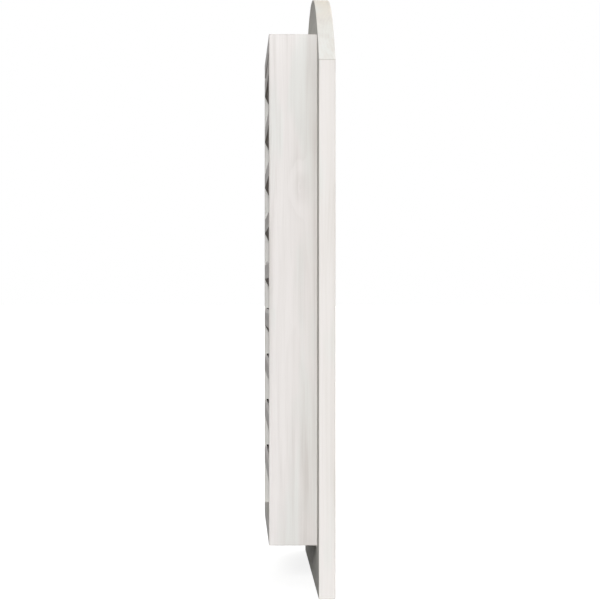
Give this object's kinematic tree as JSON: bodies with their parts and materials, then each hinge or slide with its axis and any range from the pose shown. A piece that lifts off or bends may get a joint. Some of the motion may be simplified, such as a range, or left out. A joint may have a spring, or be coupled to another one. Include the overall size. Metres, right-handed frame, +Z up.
{
  "type": "gable vent",
  "caption": "Arch-topped louvred gable vent: a flat trim frame with a curved head on a deep rectangular box of sloping slats, which lets attic air out and keeps rain out.",
  "frame": {"origin": "middle of the bottom rail's back face, on the strip below the box that bears on the wall", "axes": "+Z up, +Y into the wall (the front faces -Y), +X to the right seen from the front"},
  "size_m": [0.6096, 0.1022, 0.9695],
  "materials": {
    "trim": "matte white stain",
    "box": "matte white stain",
    "slats": "matte white stain"
  },
  "bodies": {
    "root": {"trim_stile_left": "trim", "trim_stile_right": "trim", "trim_bottom_rail": "trim", "trim_arch_head": "trim", "box_jamb_left": "box", "box_jamb_right": "box", "box_head": "box", "box_sill": "box", "slat_1": "slats", "slat_2": "slats", "slat_3": "slats", "slat_4": "slats", "slat_5": "slats", "slat_6": "slats", "slat_7": "slats", "slat_8": "slats", "slat_9": "slats"}
  },
  "joints": []
}
